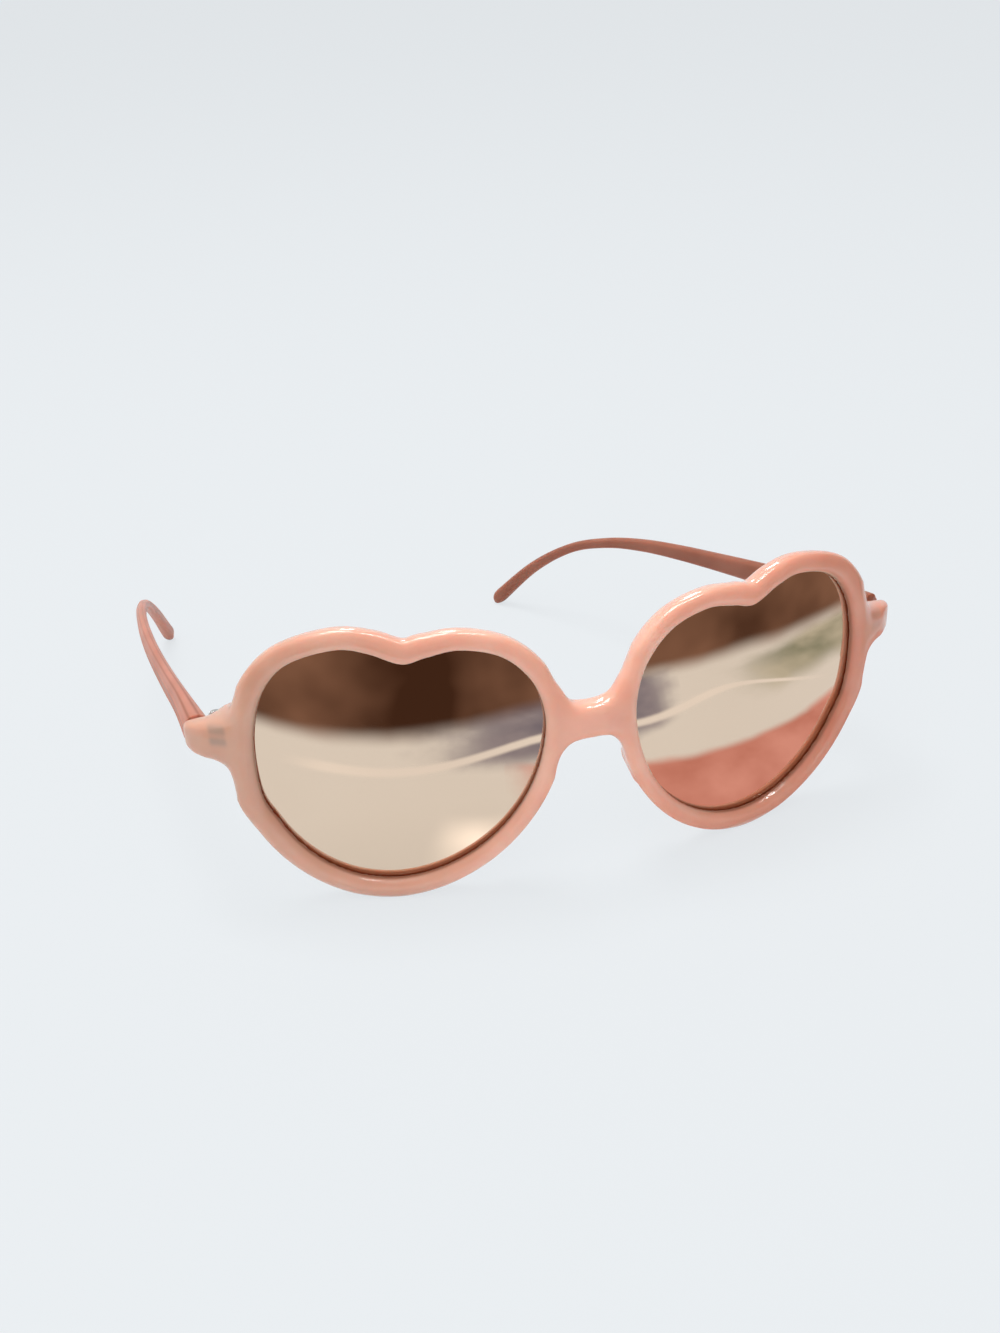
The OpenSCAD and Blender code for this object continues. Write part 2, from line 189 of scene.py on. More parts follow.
def milky_plastic(name, pale, deep, wall, through, polish, across):
    """A translucent moulded plastic. The across stops paint shade into its colour along X, at
    places in metres.
    """
    material, tree, shader = new_material(name)
    place = add(tree, "ShaderNodeTexCoord").outputs["Object"]
    tint = mixed(tree, ranged(tree, noise(tree, place, 90.0), 0.3, 0.7), pale, deep)
    # Painted shade: a ramp along X darkens the colour towards the sides, where less light falls.
    sideways = add(tree, "ShaderNodeSeparateXYZ", {0: place}).outputs["X"]
    tones = add(tree, "ShaderNodeValToRGB", {0: ranged(tree, sideways, -SIDE_SHADE_REACH, SIDE_SHADE_REACH)})
    for i, (x, tone) in enumerate(across):
        stop = tones.color_ramp.elements[i] if i < 2 else tones.color_ramp.elements.new(1.0)
        stop.position, stop.color = (x + SIDE_SHADE_REACH) / (2 * SIDE_SHADE_REACH), (*tone, 1)
    colour = mixed(tree, 1.0, tint, tones.outputs[0], blend_type="MULTIPLY")
    # The first attribute darkens the wall round each lens, partly painted shade in that recess, and
    # the lines along a temple; the second greys where a hinge plate lies inside.
    for attribute, other in (("deep_tone", wall), ("metal_inside", METAL_THROUGH)):
        mark = add(tree, "ShaderNodeAttribute", attribute_name=attribute).outputs["Fac"]
        colour = mixed(tree, mark, colour, other)
    tree.links.new(colour, shader.inputs["Base Color"])
    bump = add(tree, "ShaderNodeBump", {"Height": noise(tree, place, 200.0, 1.0),
                                        "Strength": 0.03, "Distance": 0.0004})
    tree.links.new(bump.outputs[0], shader.inputs["Normal"])
    settle(shader, Roughness=0.35, IOR=1.49, Specular_IOR_Level=0.12 * polish,
           Transmission_Weight=through, Subsurface_Weight=0.7, Subsurface_Scale=0.003,
           Subsurface_Radius=(1.0, 0.42, 0.3), Coat_Weight=polish, Coat_Roughness=0.02)
    return material


# The front's stops are painted shade: darker towards both ends, lightest near the middle. Its wall
# colour is partly painted shade in the recess round each lens.
front_plastic = milky_plastic("front_plastic", (0.93, 0.53, 0.40, 1), (0.86, 0.43, 0.31, 1),
                              (0.40, 0.16, 0.10, 1), 0.1, 1.0,
                              [(-0.062, (0.70, 0.73, 0.70)), (-0.045, (0.82, 0.84, 0.83)),
                               (-0.02, (0.93, 0.93, 0.93)), (0.012, (0.94, 0.93, 0.93)),
                               (0.035, (0.9, 0.80, 0.77)), (0.062, (0.74, 0.60, 0.56))])
# The temple's plastic is the front's in darker, browner tones: painted shade for the same plastic
# in less light. Its stops paint shade too: the wearer's left temple is darker than the right.
temple_plastic = milky_plastic("temple_plastic", (0.50, 0.22, 0.16, 1), (0.41, 0.17, 0.12, 1),
                               (0.24, 0.09, 0.055, 1), 0.04, 0.2,
                               [(-0.045, (1.0, 1.0, 1.0)), (-0.02, (0.62, 0.58, 0.52)),
                                (0.06, (0.68, 0.62, 0.56))])
print("plastics:", front_plastic.name, temple_plastic.name)

# %% [markdown]
# ## Mirror, tint and steel
# A mirrored lens has a metal film on its face and a dark brown tint behind. The film is a metal
# with a rose-brown colour and hardly any roughness, just faint smears. The tint is a dark glossy
# plastic. The hinges are bright steel with a fine grain along one direction.

# %% Lens and metal materials
lens_mirror, tree, shader = new_material("lens_mirror")
smear = noise(tree, add(tree, "ShaderNodeTexCoord").outputs["Object"], 35.0, 4.0)
tree.links.new(ranged(tree, smear, 0.35, 0.75, 0.015, 0.07), shader.inputs["Roughness"])
film = mixed(tree, smear, (0.80, 0.63, 0.485, 1), (0.85, 0.68, 0.53, 1))
tree.links.new(film, shader.inputs["Base Color"])
settle(shader, Metallic=1.0)

lens_tint, tree, shader = new_material("lens_tint")
depth = noise(tree, add(tree, "ShaderNodeTexCoord").outputs["Object"], 30.0, 2.0)
tone = mixed(tree, depth, (0.060, 0.028, 0.020, 1), (0.085, 0.042, 0.030, 1))
tree.links.new(tone, shader.inputs["Base Color"])
settle(shader, Roughness=0.06, IOR=1.5, Coat_Weight=0.5, Coat_Roughness=0.03)


def grained_steel(name, colour, roughness):
    material, tree, shader = new_material(name)
    place = add(tree, "ShaderNodeTexCoord").outputs["Object"]
    along = add(tree, "ShaderNodeMapping", {"Vector": place, "Scale": (400, 9000, 9000)})
    grain = noise(tree, along.outputs[0], 1.0)
    rough = ranged(tree, grain, 0.0, 1.0, roughness * 0.7, roughness * 1.3)
    tree.links.new(rough, shader.inputs["Roughness"])
    bump = add(tree, "ShaderNodeBump", {"Height": grain, "Strength": 0.15, "Distance": 0.00002})
    tree.links.new(bump.outputs[0], shader.inputs["Normal"])
    settle(shader, Base_Color=colour, Metallic=1.0)
    return material


hinge_steel = grained_steel("hinge_steel", (0.40, 0.40, 0.38, 1), 0.35)
screw_steel = grained_steel("screw_steel", (0.52, 0.50, 0.47, 1), 0.22)
print("mirror, tint and steel ready")

# %% [markdown]
# ## The heart, once for everything
# Rim, groove and lens all follow one closed curve through 24 points, given as shares of the
# opening's width and height. Blender could draw it as a Catmull-Rom curve object. We work the
# same curve out with numpy, because the lens and the colour of the inner wall need it as well.

# %% Curves through tables
def blend_of_four(a, b, c, d, t):
    return 0.5 * (2 * b + (c - a) * t + (2 * a - 5 * b + 4 * c - d) * t ** 2
                  + (3 * b - a - 3 * c + d) * t ** 3)


def on_loop(table, u):
    """Values on the closed curve through a table, at u from 0 to 1."""
    rows = np.array(table, float).reshape(len(table), -1)
    v = np.asarray(u, float) * len(rows)
    i = np.floor(v).astype(int)
    pick = [rows[(i + k) % len(rows)] for k in (-1, 0, 1, 2)]
    return blend_of_four(*pick, (v - i)[:, None])


def on_line(table, u):
    """Values on the open curve through a table, at u from 0 to 1."""
    rows = np.array(table, float).reshape(len(table), -1)
    rows = np.vstack([2 * rows[0] - rows[1], rows, 2 * rows[-1] - rows[-2]])
    v = np.clip(np.asarray(u, float), 0, 1) * (len(rows) - 3)
    i = np.minimum(np.floor(v).astype(int), len(rows) - 4)
    return blend_of_four(*[rows[i + k] for k in range(4)], (v - i)[:, None])


LENS_X, LENS_Z, LENS_W, LENS_H, LENS_T, LENS_GAP = 34.6, -6.9, 51.8, 51.0, 1.4, 0.08
BASE_R, RIM_W, RIM_T, RECESS, GROOVE = 146.0, 4.4, 4.8, 2.6, 1.1
HEART = [(-0.018, 0.438), (0.086, 0.481), (0.182, 0.500), (0.312, 0.468), (0.400, 0.407),
         (0.467, 0.292), (0.498, 0.120), (0.488, -0.085), (0.440, -0.202), (0.376, -0.312),
         (0.286, -0.409), (0.169, -0.478), (0.033, -0.500), (-0.101, -0.470), (-0.218, -0.405),
         (-0.315, -0.318), (-0.393, -0.214), (-0.451, -0.096), (-0.488, 0.036), (-0.498, 0.180),
         (-0.457, 0.322), (-0.356, 0.431), (-0.216, 0.473), (-0.103, 0.457)]
STATIONS, SOFTEN = 336, 13
station_u = np.arange(STATIONS) / STATIONS
opening = on_loop(HEART, station_u) * (LENS_W, LENS_H) + (LENS_X, LENS_Z)
ahead = np.roll(opening, -SOFTEN, 0) - np.roll(opening, SOFTEN, 0)
ahead /= np.linalg.norm(ahead, axis=1)[:, None]
outwards = np.stack([-ahead[:, 1], ahead[:, 0]], 1)
print("opening", np.ptp(opening, axis=0).round(2), "mm wide and high,",
      round(float(np.linalg.norm(np.diff(opening, axis=0), axis=1).sum()), 1), "mm round")

# %% [markdown]
# ## A rim is a rule, so Geometry Nodes make it
# Each rim is one section swept round the heart and bent onto a ball, like the mould that the
# real one comes from. Curve to Mesh would be the usual way, but it scales a section evenly and
# knows nothing of the ball. So the tree lays a flat grid, one row for each station and one
# column for each point of the section, and moves every vertex to its place with fields: it
# samples the station and the section point, steps outwards, and drops onto the ball.

# %% Geometry Nodes helpers
def new_tree(name, sockets):
    """A Geometry Nodes tree with a geometry in and out, and named inputs."""
    tree = bpy.data.node_groups.new(name, "GeometryNodeTree")
    tree.interface.new_socket("Geometry", in_out="INPUT", socket_type="NodeSocketGeometry")
    for socket, kind in sockets.items():
        tree.interface.new_socket(socket, in_out="INPUT", socket_type="NodeSocket" + kind)
    tree.interface.new_socket("Geometry", in_out="OUTPUT", socket_type="NodeSocketGeometry")
    return tree, add(tree, "NodeGroupInput").outputs


def whole(tree, operation, a, b):
    return add(tree, "FunctionNodeIntegerMath", {0: a, 1: b}, operation=operation).outputs[0]


def taken(tree, geometry, value, index, kind="FLOAT_VECTOR"):
    """The value of a field on another geometry, at an index."""
    node = add(tree, "GeometryNodeSampleIndex", data_type=kind, domain="POINT")
    for key, socket in (("Geometry", geometry), ("Value", value), ("Index", index)):
        tree.links.new(socket, node.inputs[key])
    return node.outputs["Value"]


def named(tree, name, kind="FLOAT"):
    return add(tree, "GeometryNodeInputNamedAttribute", {"Name": name}, data_type=kind).outputs[0]


def lay_grid(tree, rows, columns):
    """A grid to be bent, and for each vertex its row and its column."""
    per_row = whole(tree, "ADD", columns, 1)
    grid = add(tree, "GeometryNodeMeshGrid", {"Vertices X": whole(tree, "ADD", rows, 1),
                                              "Vertices Y": per_row})
    index = add(tree, "GeometryNodeInputIndex").outputs[0]
    row = whole(tree, "DIVIDE_FLOOR", index, per_row)
    column = whole(tree, "MODULO", index, per_row)
    return grid.outputs["Mesh"], row, whole(tree, "MODULO", column, columns)


def close_and_paint(tree, mesh, position, finish):
    """Moves the grid's vertices, welds its seams, and ends the tree."""
    placed = add(tree, "GeometryNodeSetPosition", {"Geometry": mesh, "Position": position})
    welded = add(tree, "GeometryNodeMergeByDistance", {0: placed.outputs[0], "Distance": 0.002})
    real = add(tree, "GeometryNodeRealizeInstances", {0: welded.outputs[0]})
    painted = add(tree, "GeometryNodeSetMaterial",
                  {"Geometry": real.outputs[0], "Material": finish})
    add(tree, "NodeGroupOutput", {0: painted.outputs[0]})


print("tree helpers ready")

# %% The tree that sweeps a rim
rim_tree, given = new_tree("rim_sweep", {
    "Section": "Object", "Stations": "Int", "Section points": "Int", "Softening": "Int",
    "Rim width": "Float", "Ball radius": "Float", "Finish": "Material"})
mesh, row, column = lay_grid(rim_tree, given["Stations"], given["Section points"])
row = whole(rim_tree, "MODULO", row, given["Stations"])
position = add(rim_tree, "GeometryNodeInputPosition").outputs[0]
section = add(rim_tree, "GeometryNodeObjectInfo", {"Object": given["Section"]}).outputs["Geometry"]
here = taken(rim_tree, given["Geometry"], position, row)
next_row = whole(rim_tree, "ADD", row, given["Softening"])
next_row = whole(rim_tree, "MODULO", next_row, given["Stations"])
turn_back = whole(rim_tree, "SUBTRACT", given["Stations"], given["Softening"])
back_row = whole(rim_tree, "ADD", row, turn_back)
back_row = whole(rim_tree, "MODULO", back_row, given["Stations"])
run = vector_calc(rim_tree, "SUBTRACT", taken(rim_tree, given["Geometry"], position, next_row),
                  taken(rim_tree, given["Geometry"], position, back_row))
run = add(rim_tree, "ShaderNodeSeparateXYZ",
          {0: add(rim_tree, "ShaderNodeVectorMath", {0: run}, operation="NORMALIZE").outputs[0]})
out = add(rim_tree, "ShaderNodeCombineXYZ", {
    "X": calc(rim_tree, "MULTIPLY", run.outputs["Z"], -1.0), "Z": run.outputs["X"]}).outputs[0]
width = calc(rim_tree, "MULTIPLY", given["Rim width"],
             taken(rim_tree, given["Geometry"], named(rim_tree, "width_share"), row, "FLOAT"))
point = add(rim_tree, "ShaderNodeSeparateXYZ", {0: taken(rim_tree, section, position, column)})
step = calc(rim_tree, "ADD", calc(rim_tree, "MULTIPLY", point.outputs["X"], width),
            taken(rim_tree, section, named(rim_tree, "fixed_out"), column, "FLOAT"))
flat = vector_calc(rim_tree, "ADD", here, vector_calc(rim_tree, "SCALE", out, step))
inner = calc(rim_tree, "SUBTRACT", given["Ball radius"], point.outputs["Y"])
flat = vector_calc(rim_tree, "SCALE", flat, calc(rim_tree, "DIVIDE", inner, given["Ball radius"]))
level = calc(rim_tree, "SUBTRACT", given["Ball radius"], point.outputs["Z"])
level = calc(rim_tree, "POWER", level, 2.0)
level = calc(rim_tree, "SUBTRACT", level, vector_calc(rim_tree, "DOT_PRODUCT", flat, flat))
sunk = calc(rim_tree, "SQRT", level)
apart = add(rim_tree, "ShaderNodeSeparateXYZ", {0: flat})
onto_ball = add(rim_tree, "ShaderNodeCombineXYZ", {
    "X": apart.outputs["X"], "Y": calc(rim_tree, "SUBTRACT", given["Ball radius"], sunk),
    "Z": apart.outputs["Z"]}).outputs[0]
close_and_paint(rim_tree, mesh, onto_ball, given["Finish"])
print("rim tree has", len(rim_tree.nodes), "nodes")

# %% [markdown]
# ## From points to a plain mesh
# The tree reads two small point clouds: the stations, with the rim's width at each as an
# attribute, and the section. The section has a fine bevel inside, a crowned face, a rounded
# outside, and a straight-walled groove for the lens. The result of the modifier is copied out
# as a plain mesh, so no modifier is left, and its faces are turned outwards.

# %% Sweep the rim
def point_cloud(name, points, **attributes):
    mesh = bpy.data.meshes.new(name)
    mesh.from_pydata([tuple(p) for p in points], [], [])
    for attribute, values in attributes.items():
        kind, field = ("FLOAT_VECTOR", "vector") if np.ndim(values) == 2 else ("FLOAT", "value")
        layer = mesh.attributes.new(attribute, kind, "POINT")
        layer.data.foreach_set(field, np.ravel(values))
    piece = bpy.data.objects.new(name, mesh)
    bpy.context.scene.collection.objects.link(piece)
    return piece


def face_outwards(mesh):
    bm = bmesh.new()
    bm.from_mesh(mesh)
    bmesh.ops.recalc_face_normals(bm, faces=bm.faces)
    if bm.calc_volume(signed=True) < 0:
        bmesh.ops.reverse_faces(bm, faces=bm.faces)
    bm.to_mesh(mesh)
    bm.free()


def made_by(piece, tree, **inputs):
    """Runs a tree on a piece and gives its result as a plain mesh. The piece is used up."""
    modifier = piece.modifiers.new("make", "NODES")
    modifier.node_group = tree
    sockets = {s.name: s.identifier for s in tree.interface.items_tree if s.in_out == "INPUT"}
    for name, value in inputs.items():
        modifier[sockets[name.replace("_", " ")]] = value
    piece.update_tag()
    ready = piece.evaluated_get(bpy.context.evaluated_depsgraph_get())
    mesh = bpy.data.meshes.new_from_object(ready)
    piece.modifiers.clear()
    bpy.data.objects.remove(piece)
    face_outwards(mesh)
    return mesh


WIDTH_SHARE = [1.04, 0.9, 0.9, 0.95, 0.86, 0.82, 0.88, 0.79, 0.75, 0.82, 0.88, 0.88]
CROWN = [(0, 0.25), (0.1, 0.13), (0.3, 0.03), (0.54, 0), (0.78, 0.03), (0.95, 0.13), (1, 0.34),
         (0.97, 0.6), (0.88, 0.83), (0.72, 0.96), (0.5, 1), (0.2, 0.98), (0.07, 0.92)]
crown = on_line(CROWN, np.linspace(0, 1, 49)) * (1, RIM_T)
middle, front_lip, back_lip = RECESS + LENS_T / 2, RECESS - LENS_GAP, RECESS + LENS_T + LENS_GAP
lips = [(0.07, middle, back_lip), (0, middle, back_lip),
        (0, middle, front_lip), (0, middle, front_lip)]
section_rows = np.vstack([crown[:, [0, 1, 1]], lips])
fixed_out = np.zeros(len(section_rows))
fixed_out[-3:-1] = GROOVE
section_cloud = point_cloud("rim_section", section_rows, fixed_out=fixed_out)
stations = point_cloud("rim_stations", np.insert(opening, 1, 0, axis=1),
                       width_share=on_loop(WIDTH_SHARE, station_u)[:, 0])
rim_mesh = made_by(stations, rim_tree, Section=section_cloud, Stations=STATIONS,
                   Section_points=len(section_rows), Softening=SOFTEN, Rim_width=RIM_W,
                   Ball_radius=BASE_R, Finish=front_plastic)
bpy.data.objects.remove(section_cloud)
print("rim:", len(rim_mesh.vertices), "vertices,", len(rim_mesh.polygons), "faces")

# %% [markdown]
# ## Bridge and end pieces
# These are bars whose height, face and back change from place to place. Each is a loft: a
# rounded section at every place, joined to the next. A small skin function builds them, since
# their rule is only a table of heights.

# %% Loft the bars
def skin(rings):
    """A closed mesh over rings of points, with flat ends."""
    rings = np.array(rings, float)
    n, m, _ = rings.shape
    faces = [(i * m + j, i * m + (j + 1) % m, (i + 1) * m + (j + 1) % m, (i + 1) * m + j)
             for i in range(n - 1) for j in range(m)]
    faces += [tuple(range(m - 1, -1, -1)), tuple((n - 1) * m + j for j in range(m))]
    mesh = bpy.data.meshes.new("skin")
    mesh.from_pydata(rings.reshape(-1, 3).tolist(), [], faces)
    face_outwards(mesh)
    return mesh


def ball_y(x, z, depth):
    return BASE_R - np.sqrt((BASE_R - depth) ** 2 - x * x - z * z)


CORNER = 0.28


def bar_ring(x, low, high, face, back):
    """A rounded section across the front at x."""
    c = min(high - low, back - face) * CORNER
    corners = [(face, high - 1.4 * c), (face + 0.3 * c, high - 0.4 * c), (face + c, high),
               (back - c, high), (back - 0.2 * c, high - 0.4 * c), (back, high - c),
               (back, low + c), (back - 0.2 * c, low + 0.4 * c), (back - c, low),
               (face + c, low), (face + 0.3 * c, low + 0.4 * c), (face, low + 1.4 * c)]
    return [(x, y, z) for y, z in corners]


FRONT_W, BRIDGE_H, END_H, BUTT_Y = 141.4, 7.0, 7.6, 22.0
nose_edge = LENS_X - LENS_W / 2 - RIM_W
BRIDGE = [(-1.75, 0.6, 0.34, 0.4), (-1.45, 0.68, 0.4, 0.26), (-1.25, 0.58, 0.35, 0.12),
          (-1.05, 0.3, 0.2, 0.05), (-0.8, 0.1, 0.06, 0.01), (-0.5, 0.02, 0, 0), (0, 0, 0, 0),
          (0.5, 0.02, 0, 0), (0.8, 0.1, 0.06, 0.01), (1.05, 0.3, 0.2, 0.05),
          (1.25, 0.58, 0.35, 0.12), (1.45, 0.68, 0.4, 0.26), (1.75, 0.6, 0.34, 0.4)]
bridge_mesh = skin([bar_ring(p * nose_edge, -BRIDGE_H * (0.5 + low), BRIDGE_H * (0.5 + top),
                             ball_y(p * nose_edge, 0, RIM_T * face),
                             ball_y(p * nose_edge, 0, RIM_T * (1 - face)))
                    for p, top, low, face in on_line(BRIDGE, np.linspace(0, 1, 49))])

side_edge = LENS_X + LENS_W / 2 + RIM_W
END_ROOT, BACK_STEP, STEP_END = 0.85, 0.4, 0.16
end_start, end_side = side_edge - RIM_W * END_ROOT, FRONT_W / 2
END = [(0, 1, 1.16, 0.04), (0.16, 0.82, 0.92, 0.02), (0.33, 0.64, 0.72, 0.01),
       (0.5, 0.54, 0.58, 0.02), (0.66, 0.48, 0.49, 0.06), (0.8, 0.44, 0.42, 0.15),
       (0.92, 0.4, 0.34, 0.32), (1, 0.3, 0.21, 0.62)]
end_rings = []
for share, top, low, face in on_line(END, np.linspace(0, 1, 57)):
    x = end_start + (end_side - end_start) * share
    back = BUTT_Y - RIM_T * BACK_STEP * max(0, 1 - share / STEP_END)
    near = ball_y(x, END_Z, 0)
    end_rings.append(bar_ring(x, END_Z - END_H * low, END_Z + END_H * top,
                              near + (back - near) * face, back))
end_mesh = skin(end_rings)
print("bridge", [round(v, 1) for v in Vector(bridge_mesh.vertices[0].co)], "end piece from x",
      round(end_start, 1), "to", round(end_side, 1))

# %% [markdown]
# ## Nose pads
# The pads of a moulded frame are small ridges on the back of each rim. Each is a row of knobs,
# each pair of neighbours wrapped in its convex hull, which gives a ridge with soft ends.

# %% Wrap the knobs of a nose pad
PAD_REACH, PAD_LINE, PAD_ROOT = 2.6, 0.48, 0.6
PAD = [(0.74, 0.3, 0.17), (0.71, 0.75, 0.25), (0.67, 1, 0.29), (0.63, 0.8, 0.25), (0.6, 0.35, 0.17)]


def knob_balls(place, reach, size):
    """Two balls: one in the rim's back and one at the pad's crest."""
    radius = RIM_W * size
    i = int(round(place * STATIONS)) % STATIONS
    x, z = (opening[i] + outwards[i] * RIM_W * PAD_LINE) * (BASE_R - RIM_T) / BASE_R
    foot = float(ball_y(x, z, RIM_T))
    sunk = radius - (RIM_T - RECESS - LENS_T) * PAD_ROOT
    crest = max(sunk, PAD_REACH * reach - radius)
    return [(Vector((x, foot + step, z)), radius) for step in (sunk, crest)]


pad_meshes = []
for first, second in zip(PAD, PAD[1:]):
    bm = bmesh.new()
    for centre, radius in knob_balls(*first) + knob_balls(*second):
        bmesh.ops.create_icosphere(bm, subdivisions=3, radius=radius,
                                   matrix=Matrix.Translation(centre))
    hull = bmesh.ops.convex_hull(bm, input=bm.verts)
    inside = [g for g in hull["geom_interior"] if isinstance(g, bmesh.types.BMVert)]
    bmesh.ops.delete(bm, geom=inside, context="VERTS")
    mesh = bpy.data.meshes.new("pad")
    bm.to_mesh(mesh)
    bm.free()
    face_outwards(mesh)
    pad_meshes.append(mesh)
print(len(pad_meshes), "hulls in a pad")

# %% [markdown]
# ## One moulding
# The real front has no joints: every piece flows into the next. So the shells are thrown
# together and wrapped in one skin by the voxel remesh, which keeps only the outside. Two vertex
# groups then say how much each place is smoothed. Light smoothing takes the voxels off, least in
# the groove, and strong smoothing rounds the corners where bridge and end pieces meet the rims.

# %% Mould the front
def flip(mesh):
    """Turns a form of the wearer's left into that of the right."""
    mesh.transform(Matrix.Scale(-1, 4, (1, 0, 0)))
    face_outwards(mesh)


def mirrored(mesh):
    copy = mesh.copy()
    flip(copy)
    return copy


def together(name, meshes):
    bm = bmesh.new()
    for mesh in meshes:
        bm.from_mesh(mesh)
    whole_mesh = bpy.data.meshes.new(name)
    bm.to_mesh(whole_mesh)
    bm.free()
    return whole_mesh


def as_piece(name, mesh):
    piece = bpy.data.objects.new(name, mesh)
    bpy.context.scene.collection.objects.link(piece)
    return piece


def with_modifiers_applied(piece):
    ready = piece.evaluated_get(bpy.context.evaluated_depsgraph_get())
    mesh = bpy.data.meshes.new_from_object(ready)
    piece.modifiers.clear()
    piece.data = mesh


VOXEL = 0.312
half = [rim_mesh, end_mesh] + pad_meshes
front = as_piece("front", together("front", half + [mirrored(m) for m in half] + [bridge_mesh]))
remesh = front.modifiers.new("wrap", "REMESH")
remesh.mode, remesh.voxel_size, remesh.use_smooth_shade = "VOXEL", VOXEL, True
with_modifiers_applied(front)
print("wrapped front:", len(front.data.vertices), "vertices")

# %% Find where each vertex lies
def coordinates(mesh):
    flat = np.zeros(len(mesh.vertices) * 3, np.float32)
    mesh.vertices.foreach_get("co", flat)
    return flat.reshape(-1, 3).astype(float)


AT_ONCE = 4000


def beside_opening(points):
    """For each point its depth below the face and its distance outwards from the opening."""
    x, y, z = np.abs(points[:, 0]), points[:, 1], points[:, 2]
    depth = BASE_R - np.sqrt(x * x + (BASE_R - y) ** 2 + z * z)
    flat = np.stack([x, z], 1) * (BASE_R / (BASE_R - depth))[:, None]
    distance = np.zeros(len(flat))
    for start in range(0, len(flat), AT_ONCE):
        block = flat[start:start + AT_ONCE]
        gap = block[:, None, :] - opening[None, :, :]
        near = (gap ** 2).sum(2).argmin(1)
        nearest = gap[np.arange(len(block)), near]
        distance[start:start + AT_ONCE] = (nearest * outwards[near]).sum(1)
    return depth, distance


def ramp(values, low, high):
    t = np.clip((values - low) / (high - low), 0, 1)
    return t * t * (3 - 2 * t)


def band(values, rises, falls):
    """1 between two places and 0 beyond them, with soft ends."""
    return ramp(values, *rises) * (1 - ramp(values, *falls))


points = coordinates(front.data)
depth, distance = beside_opening(points)
side, level = np.abs(points[:, 0]), points[:, 2]
near_bridge = band(side, (2.6, 4.2), (9.0, 10.5)) * (1 - ramp(np.abs(level - 1), 9, 12))
near_end = band(side, (57.5, 59.5), (66.0, 68)) * (1 - ramp(np.abs(level), 9.5, 12))
clear_of_lens = ramp(distance, 1.8, 2.8)
marks = {"blend": np.maximum(near_bridge, near_end) * clear_of_lens,
         "outside": 0.35 + 0.65 * ramp(distance, 0.9, 1.6)}
for name, share in marks.items():
    group = front.vertex_groups.new(name=name)
    for i in np.nonzero(share > 0.01)[0]:
        group.add([int(i)], float(share[i]), "REPLACE")
print("vertices rounded where pieces meet:", int((marks["blend"] > 0.01).sum()))

# %% Smooth the moulding and stand it up
even = front.modifiers.new("even", "SMOOTH")
even.factor, even.iterations, even.vertex_group = 0.5, 12, "outside"
fillet = front.modifiers.new("fillet", "SMOOTH")
fillet.factor, fillet.iterations, fillet.vertex_group = 0.5, 160, "blend"
with_modifiers_applied(front)
front.vertex_groups.clear()
points = coordinates(front.data)
depth, distance = beside_opening(points)
# Partly painted shade: the inner wall deep in the recess round each lens takes the darker colour,
# which also stands for the brown lens edge seen through the plastic.
wall = (1 - ramp(distance, 0.2, 0.8)) * ramp(depth, 1.4, 2.0) * (1 - ramp(depth, 4.1, 4.4))
PLATE_OUT, PLATE_UP, LEFT_SHARE = 1.0, 1.8, 0.4
side, level = np.abs(points[:, 0]) - AXIS_X - PLATE_OUT, points[:, 2] - END_Z - PLATE_UP
plate = (1 - ramp(np.abs(side), 0.9, 1.8)) * (1 - ramp(np.abs(level), 1.6, 2.5))
plate *= 1 - ramp(points[:, 1], 17, 19)
bars = 1 - ramp(np.abs(np.abs(level) - 1.0), 0.2, 0.9)
plate *= np.where(points[:, 0] > 0, LEFT_SHARE, 1.0)
for name, values in (("deep_tone", wall), ("metal_inside", plate * (0.25 + 0.3 * bars))):
    layer = front.data.attributes.new(name, "FLOAT", "POINT")
    layer.data.foreach_set("value", values)
front.data.materials.clear()
front.data.materials.append(front_plastic)
front.data.transform(STAND)
front.data.shade_smooth()
print("front:", len(front.data.polygons), "faces,",
      round(float(np.ptp(points[:, 0])), 2), "mm wide")

# %% [markdown]
# ## The lenses
# A lens is a slice of the same ball. Rings that shrink from the groove to the middle of the
# heart are dropped onto the face's ball and onto the back's. The mirror shows every dent, so the
# rings are close together, and the edge has a narrow bevel. The face gets the mirror film, and
# the back and the edge the dark tint.

# %% Grind a lens
RINGS = 26
lens_edge = (opening + outwards * (GROOVE - LENS_GAP)) * (BASE_R - middle) / BASE_R
lens_middle = lens_edge.mean(0)


def lens_ring(share, depth):
    flat = lens_middle + (lens_edge - lens_middle) * share
    return np.stack([flat[:, 0], ball_y(flat[:, 0], flat[:, 1], depth), flat[:, 1]], 1)


BEVEL, HALF_LENS, INNERMOST = 0.12, 26, 0.02
shares = np.linspace(INNERMOST, 1 - BEVEL / HALF_LENS, RINGS)
face_rings = [lens_ring(s, RECESS) for s in shares]
back_rings = [lens_ring(s, RECESS + LENS_T) for s in shares[::-1]]
edge_rings = [lens_ring(1.0, RECESS + BEVEL), lens_ring(1.0, RECESS + LENS_T - BEVEL)]


def ground_lens(name, side):
    mesh = skin(face_rings + edge_rings + back_rings)
    if side < 0:
        flip(mesh)
    mesh.materials.append(lens_mirror)
    mesh.materials.append(lens_tint)
    depth, _ = beside_opening(np.array([p.center for p in mesh.polygons]))
    mesh.polygons.foreach_set("material_index", (depth > RECESS + BEVEL * 0.8).astype(int))
    mesh.transform(STAND)
    mesh.shade_smooth()
    mesh.set_sharp_from_angle(angle=math.radians(30))
    return as_piece(name, mesh)


left_lens, right_lens = ground_lens("lens_of_left_eye", 1), ground_lens("lens_of_right_eye", -1)
print("lens:", len(left_lens.data.polygons), "faces,",
      round(float(np.ptp(lens_edge[:, 0])), 2), "mm wide")

